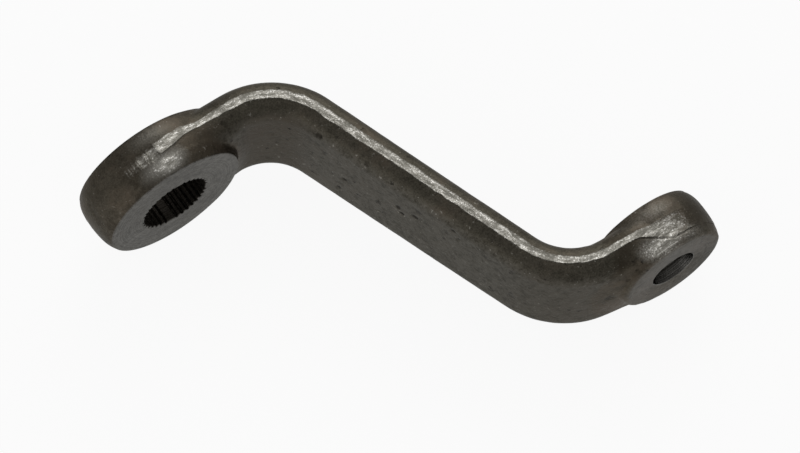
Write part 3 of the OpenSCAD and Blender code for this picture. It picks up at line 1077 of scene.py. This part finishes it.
    def add_bore(self, end: End, angles: Array, radii: Array, heights: Array) -> None:
        """Adds one bore's wall.

        Args:
            end: which eye.
            angles: angles of a ring's points, in radians.
            radii: radii, one row to a ring.
            heights: the rings' heights, from the front to the back.
        """
        centre = self.sizes.centre(end)
        s, w = centre + radii * np.cos(angles)[None, :], radii * np.sin(angles)[None, :]
        chart = np.stack([s, w, heights[:, None] + 0.0 * radii], axis=-1)
        inside, faced = np.ones(radii.shape), np.ones(radii.shape)
        inside[[0, -1]] = 0.0
        faced[[0, -1]] = self.sizes.eye(end).faced
        reamed = inside if end is End.STUD else 0.0
        numbers = self.skin.add(
            chart, faced=faced, bore=inside, reamed=reamed, lift=chart[..., 2], spin=radii, run=centre
        )
        self.skin.grid(np.concatenate([numbers, numbers[:, :1]], axis=1), turned_over=True)
        self.bores[end] = numbers
        self.bore_angles[end] = angles

    def build(self) -> bpy.types.Object:
        """Builds the whole skin as one closed mesh with its marks.

        Returns:
            The finished object, at the origin.
        """
        self.build_bores()
        rings = self.build_arm()
        for end in End:
            self.build_eye(end, rings)
        chart, marks = self.skin.chart, np.concatenate(self.skin.marks)
        marks[:, list(Mark).index(Mark.DENT)] = self.dents(chart) / self.wear.dent_deep
        points = self.placed(chart)
        mesh = self.skin.to_mesh(self.name, points)
        for column, mark in enumerate(Mark):
            layer = mesh.attributes.new(mark.value, "FLOAT", "POINT")
            layer.data.foreach_set("value", marks[:, column].astype(np.float32))
        self.weather(mesh, points, marks)
        mesh.shade_smooth()
        mesh.set_sharp_from_angle(angle=math.radians(self.sharp_angle))
        mesh.validate()
        piece = bpy.data.objects.new(self.name, mesh)
        bpy.context.scene.collection.objects.link(piece)
        return piece

    def weather(self, mesh: bpy.types.Mesh, points: Array, marks: Array) -> None:
        """Sinks the raw skin a little along its normals, and never lifts it, so the box is kept.

        The forged skin sinks by a wide and a fine noise, the flash by a finer one. Dents and pits are added
        to that; a pit is a rounded hollow about a point that is drawn at random.

        Args:
            mesh: the mesh to change.
            points: its points in millimetres.
            marks: the points' marks, one column each.
        """
        wear = self.wear
        normals = np.zeros(3 * len(points), np.float32)
        mesh.vertex_normals.foreach_get("vector", normals)
        normals = normals.reshape(-1, 3).astype(float)
        column = {mark: marks[:, i] for i, mark in enumerate(Mark)}
        raw, band = 1.0 - column[Mark.FACED], column[Mark.TRIM]
        sink = raw * (1.0 - band) * (wear.uneven.sunk(points) + wear.flaky.sunk(points))
        sink = sink + raw * band * wear.torn.sunk(points) + raw * wear.dent_deep * column[Mark.DENT]
        draw = np.random.default_rng(wear.pit_seed)
        outside = np.flatnonzero((raw > 0.9) & (band < 0.1) & (column[Mark.BORE] < 0.1))
        for seat in draw.choice(outside, wear.pit_count, replace=False):
            width, deep = draw.uniform(*wear.pit_width), draw.uniform(*wear.pit_deep)
            reach = ((points - points[seat]) ** 2).sum(axis=1) / width**2
            sink = sink + raw * deep * np.exp(-reach)
        moved = points - normals * sink[:, None]
        mesh.vertices.foreach_set("co", (moved * MM).astype(np.float32).ravel())
        mesh.update()


class Wire:
    """A shader socket that takes part in Python expressions; each operator adds its Math node."""

    def __init__(self, sheet: "NodeSheet", socket: bpy.types.NodeSocket) -> None:
        """Keeps the sheet and the socket."""
        self.sheet = sheet
        self.socket = socket

    def __add__(self, other: Any) -> "Wire":
        """Returns self + other."""
        return self.sheet.math("ADD", self, other)

    def __radd__(self, other: Any) -> "Wire":
        """Returns other + self."""
        return self.sheet.math("ADD", other, self)

    def __sub__(self, other: Any) -> "Wire":
        """Returns self - other."""
        return self.sheet.math("SUBTRACT", self, other)

    def __rsub__(self, other: Any) -> "Wire":
        """Returns other - self."""
        return self.sheet.math("SUBTRACT", other, self)

    def __mul__(self, other: Any) -> "Wire":
        """Returns self * other."""
        return self.sheet.math("MULTIPLY", self, other)

    def __rmul__(self, other: Any) -> "Wire":
        """Returns other * self."""
        return self.sheet.math("MULTIPLY", other, self)

    def __abs__(self) -> "Wire":
        """Returns the value without its sign."""
        return self.sheet.math("ABSOLUTE", self, 0.0)

    def clamp(self) -> "Wire":
        """Returns the value held between 0 and 1."""
        return self.sheet.node("ShaderNodeClamp", {}, {"Value": self})

    def step(self, low: float, high: float) -> "Wire":
        """Returns a smooth step from low to high."""
        inputs = {"Value": self, "From Min": low, "From Max": high}
        return self.sheet.node("ShaderNodeMapRange", {"interpolation_type": "SMOOTHSTEP"}, inputs)


class NodeSheet:
    """The node tree of one material, with short ways to add nodes."""

    def __init__(self, name: str) -> None:
        """Makes an empty material.

        Args:
            name: the material's name.
        """
        self.material = bpy.data.materials.new(name)
        self.material.use_nodes = True
        self.tree = self.material.node_tree
        self.tree.nodes.clear()

    def node(self, kind: str, settings: dict[str, Any], inputs: dict[Any, Any], output: Any = 0) -> Wire:
        """Adds any node.

        Args:
            kind: the node's type.
            settings: its properties, set first.
            inputs: values or wires for its sockets, by name or number.
            output: which output is wanted.

        Returns:
            The wanted output as a wire.
        """
        made = self.tree.nodes.new(kind)
        for key, value in settings.items():
            setattr(made, key, value)
        for key, value in inputs.items():
            if isinstance(value, Wire):
                self.tree.links.new(value.socket, made.inputs[key])
            else:
                made.inputs[key].default_value = value
        return Wire(self, made.outputs[output])

    def surface(self, shader: Wire) -> None:
        """Takes a shader as the material's surface."""
        made = self.tree.nodes.new("ShaderNodeOutputMaterial")
        self.tree.links.new(shader.socket, made.inputs["Surface"])

    def math(self, operation: str, a: Any, b: Any) -> Wire:
        """Returns a Math node's result for two values or wires."""
        return self.node("ShaderNodeMath", {"operation": operation}, {0: a, 1: b})

    def mark(self, mark: Mark) -> Wire:
        """Returns one of the skin's marks."""
        return self.node("ShaderNodeAttribute", {"attribute_name": mark.value}, {}, "Fac")

    def noise(self, where: Wire, scale: float, detail: float, roughness: float = 0.55) -> Wire:
        """Returns noise at a place, about 0 to 1."""
        inputs = {"Vector": where, "Scale": scale, "Detail": detail, "Roughness": roughness}
        return self.node("ShaderNodeTexNoise", {}, inputs)

    def streaks(self, x: Any, y: Any, z: Any, detail: float, roughness: float) -> Wire:
        """Returns noise over three values, drawn out along those that are scaled down."""
        return self.noise(self.node("ShaderNodeCombineXYZ", {}, {0: x, 1: y, 2: z}), 1.0, detail, roughness)

    def blend(self, factor: Any, a: Any, b: Any) -> Wire:
        """Returns a blend of two colours, a at 0 and b at 1."""
        return self.node("ShaderNodeMix", {"data_type": "RGBA"}, {0: factor, 6: a, 7: b}, 2)


class SteelSheet(NodeSheet):
    """The arm's node tree, with the wires that its surfaces share: the place, the skin's marks and noise."""

    def __init__(self, name: str) -> None:
        """Adds the shared wires: noise at the place from wide to fine, then noise drawn out along marks.

        Args:
            name: the material's name.
        """
        super().__init__(name)
        self.where = self.node("ShaderNodeTexCoord", {}, {}, "Object")
        self.marks = {mark: self.mark(mark) for mark in Mark}
        self.patch = self.noise(self.where, 38.0, 4.0)
        self.blotch = self.noise(self.where, 210.0, 4.0, 0.6)
        self.mottle = self.noise(self.where, 520.0, 3.0, 0.6)
        self.spark = self.noise(self.where, 1300.0, 3.0, 0.75)
        self.grain = self.noise(self.where, 1500.0, 3.0, 0.65)
        self.fine = self.noise(self.where, 3600.0, 2.0)
        run, lift, spin = (self.marks[mark] for mark in (Mark.RUN, Mark.LIFT, Mark.SPIN))
        self.glint = self.streaks(run * 1.1, lift * 1.9, spin * 1.5, 2.0, 0.6)
        self.torn = self.streaks(run * 0.9, lift * 2.6, spin * 0.3, 4.0, 0.7)
        self.clump = self.streaks(run * 0.17, lift * 0.55, 3.0, 3.0, 0.6)
        self.rings = self.streaks(spin * 1.7, lift * 0.2, 0.0, 4.0, 0.7)
        self.tool = self.streaks(lift * 1.6, spin * 0.4, 0.0, 3.0, 0.6)
        self.groove = self.streaks(lift * 3.2, spin * 0.2, 0.0, 2.0, 0.5)
        self.open_flat = abs(lift).step(6.5, 9.0)
        self.broken = 0.5 + self.open_flat * 0.65


def colour(r: float, g: float, b: float) -> Colour:
    """Returns an opaque colour in linear values."""
    return (r, g, b, 1.0)


@dataclass(frozen=True)
class ForgedSteelFinish:
    """Drop-forged steel as it leaves the shop: oiled scale, bright sheared flash, faced eyes, cut bores; with
    painted glints, and painted shade in the dents and the serrated bore.
    """

    scale_dark: Colour = colour(0.032, 0.0286, 0.0212)
    scale_pale: Colour = colour(0.096, 0.0865, 0.0675)
    scale_brown: Colour = colour(0.079, 0.0595, 0.0425)
    scale_cool: Colour = colour(0.086, 0.0815, 0.0710)
    scale_bent: Colour = colour(0.056, 0.0465, 0.0355)
    # the dark of the scale's pits, also used as painted shade at the bottom of the dents
    pit_dark_and_dent_shade: Colour = colour(0.012, 0.0102, 0.0080)
    worn: Colour = colour(0.40, 0.386, 0.348)
    sheared_dark: Colour = colour(0.19, 0.181, 0.155)
    sheared_pale: Colour = colour(0.56, 0.54, 0.485)
    # painted glint: a near-white colour that stands in for the sparkle of light on bare sheared metal
    painted_glint: Colour = colour(0.98, 0.96, 0.91)
    stain: Colour = colour(0.030, 0.0235, 0.0155)
    faced_dark: Colour = colour(0.050, 0.0478, 0.043)
    faced_pale: Colour = colour(0.180, 0.175, 0.163)
    # painted shade: the serrated bore's oiled cut steel, coloured darker for the shade deep in the bore
    bore_shade_dark: Colour = colour(0.016, 0.013, 0.010)
    bore_shade_pale: Colour = colour(0.065, 0.060, 0.052)
    reamed_dark: Colour = colour(0.085, 0.082, 0.075)
    reamed_pale: Colour = colour(0.27, 0.263, 0.247)
    reamed_rough: float = 0.18
    edge_tint: Colour = colour(0.605, 0.605, 0.60)
    first_bend: float = 54.6               # runs of the middles of both bends
    last_bend: float = 194.0
    scratch_turn: Place = (0.0, 0.7, 0.0)  # how the scratches on the faces lie, and how fine they are
    scratch_scale: Place = (90.0, 300.0, 1500.0)
    bump_strength: float = 0.55
    bump_height: float = 0.0004

    def pits(self, sheet: SteelSheet, scale: float, ragged: Wire, rare: float) -> Wire:
        """Chooses some cells of a cell pattern and puts a ragged pit into the middle of each.

        Args:
            sheet: the material's sheet.
            scale: how many cells go to a metre.
            ragged: noise that makes the pits' edges uneven.
            rare: share of the cells that stay empty.

        Returns:
            1 in a pit, 0 outside.
        """
        cell = {"Vector": sheet.where, "Scale": scale}
        hole = sheet.node("ShaderNodeTexVoronoi", {}, cell, "Distance") + (ragged - 0.5) * 0.5
        tint = sheet.node("ShaderNodeTexVoronoi", {}, cell, "Color")
        chosen = sheet.node("ShaderNodeSeparateColor", {}, {0: tint}, 0)
        return (1.0 - hole.step(0.10, 0.27)) * chosen.step(rare, rare + 0.04)

    def scale(self, sheet: SteelSheet, pit: Wire) -> Wire:
        """Colours the oiled scale: clouds of dark and pale, browner on eyes and bends, pitted and worn; with
        painted shade in the dents, and painted highlights on the dents' rims and the front crest.

        Args:
            sheet: the material's sheet.
            pit: 1 in the pits.

        Returns:
            The colour.
        """
        patch, blotch, mottle, grain = sheet.patch, sheet.blotch, sheet.mottle, sheet.grain
        run, lift, spin = (sheet.marks[mark] for mark in (Mark.RUN, Mark.LIFT, Mark.SPIN))
        rubbed, dent, open_flat = sheet.marks[Mark.RUBBED], sheet.marks[Mark.DENT], sheet.open_flat
        on_eye = 1.0 - spin.step(32.0, 36.0)
        cloud = patch * 0.6 + (patch - 0.5) * on_eye * 1.3
        tone = ((blotch + mottle - 1.0) * sheet.broken + cloud + grain * 1.2 - 0.40).step(0.05, 0.95)
        scale = sheet.blend(tone, self.scale_dark, self.scale_pale)
        warm = (patch * 0.7 + blotch * 0.3 + on_eye * 0.06).step(0.50, 0.66) * 0.42 + on_eye * 0.18
        scale = sheet.blend(warm, scale, self.scale_brown)
        scale = sheet.blend(open_flat * (1.0 - on_eye) * (tone * 0.7 + 0.05), scale, self.scale_cool)
        bent = 1.0 - abs(run - self.first_bend).step(8.0, 30.0)
        bent = bent + (1.0 - abs(run - self.last_bend).step(6.0, 28.0)) * 0.4
        bent = bent * open_flat * (patch * 1.4 + blotch * 0.7 + mottle * 1.1 - 1.0).clamp()
        scale = sheet.blend(bent, scale, self.scale_bent)
        scale = sheet.blend(pit * (0.35 + open_flat * 0.5), scale, self.pit_dark_and_dent_shade)
        # painted shade: the dents darkened toward their bottoms
        hollow = (dent + (grain - 0.5) * 0.8).step(0.30, 0.85)
        scale = sheet.blend(hollow * 0.8, scale, self.pit_dark_and_dent_shade)
        scale = sheet.blend((rubbed * -1.0).clamp(), scale, self.stain)
        # painted highlight: more pale flecks along the rounded crest just below the front flat
        painted_crest_highlight = lift.step(7.2, 8.5) * (1.0 - lift.step(9.12, 9.19)) * patch.step(0.46, 0.60)
        # painted highlight: a pale ring of flecks round each dent's rim
        painted_dent_rim = dent.step(0.04, 0.16) * (1.0 - dent.step(0.16, 0.4))
        # pale flecks of the scale, with the painted crest and dent-rim highlights added in
        fleck_and_painted_rims = sheet.noise(sheet.where, 760.0, 2.0, 0.6) + (blotch - 0.5) * 0.35 + painted_crest_highlight * 0.05 + painted_dent_rim * 0.15
        fleck_and_painted_rims = fleck_and_painted_rims.step(0.67, 0.78) * 0.36
        soft = 1.0 - run.step(100.0, 140.0)
        rub = rubbed * (0.95 + soft * 0.3 + (grain + sheet.spark - 1.0) * (2.7 - soft * 1.2))
        return sheet.blend((rub.clamp() + fleck_and_painted_rims).clamp(), scale, self.worn)

    def sheared(self, sheet: SteelSheet) -> Wire:
        """Colours the sheared flash: torn in clumps along the shear, brighter toward the front, with painted
        glints.

        Args:
            sheet: the material's sheet.

        Returns:
            The colour.
        """
        spark, clump = sheet.spark, sheet.clump
        ridge = sheet.marks[Mark.LIFT].step(0.2, 1.5) * clump.step(0.46, 0.62)
        bright = (sheet.torn * 0.6 + spark * 0.6 + clump * 1.1 + ridge * 0.14 - 0.55).step(0.38, 0.92)
        # painted glints: near-white specks on the torn metal, where light would sparkle
        shine = (sheet.glint * 0.8 + spark * 0.5 + clump * 0.7 - 0.5).step(0.55, 0.72)
        return sheet.blend(shine, sheet.blend(bright, self.sheared_dark, self.sheared_pale), self.painted_glint)

    def faced(self, sheet: SteelSheet) -> Wire:
        """Colours the faced eyes: rings about the bore, grain, and scratches straight across.

        Args:
            sheet: the material's sheet.

        Returns:
            The colour.
        """
        along = {"Vector": sheet.where, "Rotation": self.scratch_turn, "Scale": self.scratch_scale}
        scratch = sheet.noise(sheet.node("ShaderNodeMapping", {}, along), 1.0, 2.0, 0.5).step(0.60, 0.74)
        tone = sheet.rings * 0.9 + sheet.blotch * 0.4 + sheet.mottle * 0.5
        tone = tone + sheet.grain * 0.95 + sheet.patch * 0.25 + scratch * 0.3
        return sheet.blend((tone - 0.96).step(0.2, 0.9), self.faced_dark, self.faced_pale)

    def bores(self, sheet: SteelSheet) -> Wire:
        """Colours the bore walls: the serration's tool marks with painted shade, paler ring marks in the
        reamed stud bore.

        Args:
            sheet: the material's sheet.

        Returns:
            The colour.
        """
        tone = (sheet.tool * 0.7 + sheet.grain * 0.3).step(0.35, 0.75)
        # painted shade: the serration's tool marks, darkened for the shade deep in the bore
        walls = sheet.blend(tone, self.bore_shade_dark, self.bore_shade_pale)
        ream = sheet.blend(sheet.groove.step(0.35, 0.7), self.reamed_dark, self.reamed_pale)
        return sheet.blend(sheet.marks[Mark.REAMED], walls, ream)

    def bare(self, sheet: SteelSheet) -> tuple[Wire, Wire]:
        """Finds where bare metal shows: the torn band, the stair of cross marks, and specks in rubbed spots.

        Args:
            sheet: the material's sheet.

        Returns:
            1 on the torn band, and 1 on all bare metal.
        """
        spark, trim, lift = sheet.spark, sheet.marks[Mark.TRIM], sheet.marks[Mark.LIFT]
        chatter, rubbed = sheet.marks[Mark.CHATTER], sheet.marks[Mark.RUBBED]
        back_fade = (1.0 - lift.step(-2.1, 0.3)) * (sheet.patch * 1.6 - 0.4)
        torn_edge = (trim - back_fade * 0.25 + (spark - 0.5) * 0.7).step(0.15, 0.85)
        scraped = (chatter * 1.2 + (spark - 0.5) * 0.8).step(0.10, 0.95) * chatter.step(0.06, 0.4) * 0.9
        speck = rubbed * 0.8 + (sheet.glint - 0.5) * 1.6 + (spark - 0.5) * 1.8
        speck = speck.step(0.36, 0.95) * rubbed.step(0.05, 0.45)
        return torn_edge, (torn_edge + scraped + speck).clamp()

    def height(self, sheet: SteelSheet, pit: Wire, torn_edge: Wire) -> Wire:
        """Adds up the fine relief of all surfaces, too fine for the mesh.

        Args:
            sheet: the material's sheet.
            pit: 1 in the pits.
            torn_edge: 1 on the torn band.

        Returns:
            The height for the bump.
        """
        faced, bore, reamed = (sheet.marks[mark] for mark in (Mark.FACED, Mark.BORE, Mark.REAMED))
        grain = sheet.grain
        rough = grain * 0.32 + sheet.fine * 0.1 + (sheet.mottle + sheet.blotch) * sheet.broken
        raw = (rough * (1.0 - faced) - pit * (1.0 - faced) * 0.9) * (1.0 - torn_edge * 0.7)
        cut = faced * (sheet.rings * 0.3 + grain * 0.28) + bore * sheet.tool * 0.4
        cut = cut * (1.0 - reamed) + reamed * sheet.groove * 0.9
        return raw + cut + torn_edge * (sheet.torn * 0.8 + sheet.spark * 0.5)

    def material(self) -> bpy.types.Material:
        """Builds the material: the marks choose between the surfaces, and noise at several sizes varies each.

        Returns:
            The finished material.
        """
        sheet = SteelSheet("forged_steel")
        faced, bore, reamed = (sheet.marks[mark] for mark in (Mark.FACED, Mark.BORE, Mark.REAMED))
        pit = self.pits(sheet, 260.0, sheet.grain, 0.80)
        pit = (pit + self.pits(sheet, 130.0, sheet.mottle, 0.84) * 0.7).clamp()
        torn_edge, bare = self.bare(sheet)
        base = sheet.blend(bare, self.scale(sheet, pit), self.sheared(sheet))
        base = sheet.blend(faced.step(0.15, 0.85), base, self.faced(sheet))
        base = sheet.blend(bore, base, self.bores(sheet))
        rough = 0.30 + sheet.grain * 0.20 + sheet.blotch * 0.10
        rough = rough + bare * (0.02 + sheet.spark * 0.1) - faced * 0.02 + bore * 0.05
        rough = rough * (1.0 - reamed) + reamed * self.reamed_rough
        metal = 0.93 + bare * 0.05 + faced * 0.04
        relief = {
            "Strength": self.bump_strength, "Distance": self.bump_height,
            "Height": self.height(sheet, pit, torn_edge),
        }
        bump = sheet.node("ShaderNodeBump", {}, relief, "Normal")
        inputs = {
            "Base Color": base, "Metallic": metal.clamp(), "Roughness": rough.clamp(), "Normal": bump,
            "Specular IOR Level": 0.4, "Specular Tint": self.edge_tint,
        }
        sheet.surface(sheet.node("ShaderNodeBsdfPrincipled", {}, inputs))
        return sheet.material


class Lamp(NamedTuple):
    """A square soft lamp: its name, its place and side in metres, and its power in watts."""

    name: str
    place: Place
    size: float
    power: float


@dataclass(frozen=True)
class Studio:
    """The plain floor, the soft light and the camera, in metres."""

    floor_size: float = 8.0
    floor_points: int = 9
    floor_tone: float = 0.86
    floor_white: float = 0.92
    world_tone: float = 0.48
    lamps: tuple[Lamp, ...] = (
        Lamp("soft_back", (1.05, 0.95, 0.85), 1.2, 9.5),
        Lamp("soft_left", (-1.25, -0.25, 0.50), 1.1, 2.6),
    )
    eye_place: Place = (-0.505748, -0.910649, 2.529729)
    eye_target: Place = (0.069716, -0.073211, -0.002263)
    lens: float = 303.54
    sensor: float = 36.0
    far_end: float = 100.0

    def floor(self, level: float) -> bpy.types.Object:
        """Lays the pale floor under the object.

        Args:
            level: the height of its top.

        Returns:
            The floor.
        """
        side, n = self.floor_size / 2.0, self.floor_points
        u, v = np.meshgrid(np.linspace(-side, side, n), np.linspace(-side, side, n), indexing="ij")
        points = np.stack([u, v, np.full(u.shape, level)], axis=-1).reshape(-1, 3)
        at = np.arange(n * n).reshape(n, n)
        faces = np.stack([at[:-1, :-1], at[1:, :-1], at[1:, 1:], at[:-1, 1:]], axis=-1).reshape(-1, 4)
        mesh = bpy.data.meshes.new("floor")
        mesh.from_pydata(points.tolist(), [], faces.tolist())
        sheet = NodeSheet("pale_floor")
        tone = self.floor_tone
        matt = sheet.node("ShaderNodeBsdfDiffuse", {}, {"Color": colour(tone, tone, tone)})
        white = sheet.node("ShaderNodeEmission", {}, {"Color": colour(1.0, 1.0, 1.0), "Strength": 1.0})
        kinds = ("Camera", "Glossy", "Transmission")
        rays = [sheet.node("ShaderNodeLightPath", {}, {}, f"Is {kind} Ray") for kind in kinds]
        seen = (rays[0] + rays[1] + rays[2]).clamp() * self.floor_white
        sheet.surface(sheet.node("ShaderNodeMixShader", {}, {0: seen, 1: matt, 2: white}))
        mesh.materials.append(sheet.material)
        floor = bpy.data.objects.new("floor", mesh)
        bpy.context.scene.collection.objects.link(floor)
        return floor

    def hang(self, name: str, data: bpy.types.ID, place: Place) -> bpy.types.Object:
        """Puts a lamp or the camera at a place, turned to the target.

        Args:
            name: the object's name.
            data: the light or the camera.
            place: where it goes.

        Returns:
            The object.
        """
        made = bpy.data.objects.new(name, data)
        made.location = place
        made.rotation_euler = (Vector(self.eye_target) - Vector(place)).to_track_quat("-Z", "Y").to_euler()
        bpy.context.scene.collection.objects.link(made)
        return made

    def light(self) -> None:
        """Sets the even light that comes from all round, and hangs the soft lamps."""
        world = bpy.data.worlds.new("even_light")
        world.use_nodes = True
        back = world.node_tree.nodes["Background"]
        back.inputs["Color"].default_value = colour(self.world_tone, self.world_tone, self.world_tone)
        back.inputs["Strength"].default_value = 1.0
        bpy.context.scene.world = world
        for lamp in self.lamps:
            light = bpy.data.lights.new(lamp.name, "AREA")
            light.size = lamp.size
            light.energy = lamp.power
            self.hang(lamp.name, light, lamp.place)

    def camera(self) -> None:
        """Places the camera at the photograph's viewing angle."""
        data = bpy.data.cameras.new("camera")
        data.lens = self.lens
        data.sensor_width = self.sensor
        data.clip_end = self.far_end
        bpy.context.scene.camera = self.hang("camera", data, self.eye_place)

    def set_up(self, level: float) -> bpy.types.Object:
        """Sets up the light, the camera and the floor.

        Args:
            level: the height of the floor.

        Returns:
            The floor.
        """
        bpy.context.scene.view_settings.view_transform = "Standard"
        self.light()
        self.camera()
        return self.floor(level)


def main() -> None:
    """Builds the arm and the studio."""
    logging.basicConfig(level=logging.INFO, format="%(name)s: %(message)s")
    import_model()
    cad_box = [list(map(float, corner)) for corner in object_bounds()]
    arm = ForgedArm()
    piece = arm.build()
    piece.data.materials.append(ForgedSteelFinish().material())
    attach(piece, "root")
    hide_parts("pitman_arm")
    LOG.info("%s: %d points, %d faces", piece.name, len(piece.data.vertices), len(piece.data.polygons))
    Studio().set_up(cad_box[0][2])
    LOG.info("floor at %.4f m", cad_box[0][2])


if __name__ == "__main__":
    main()
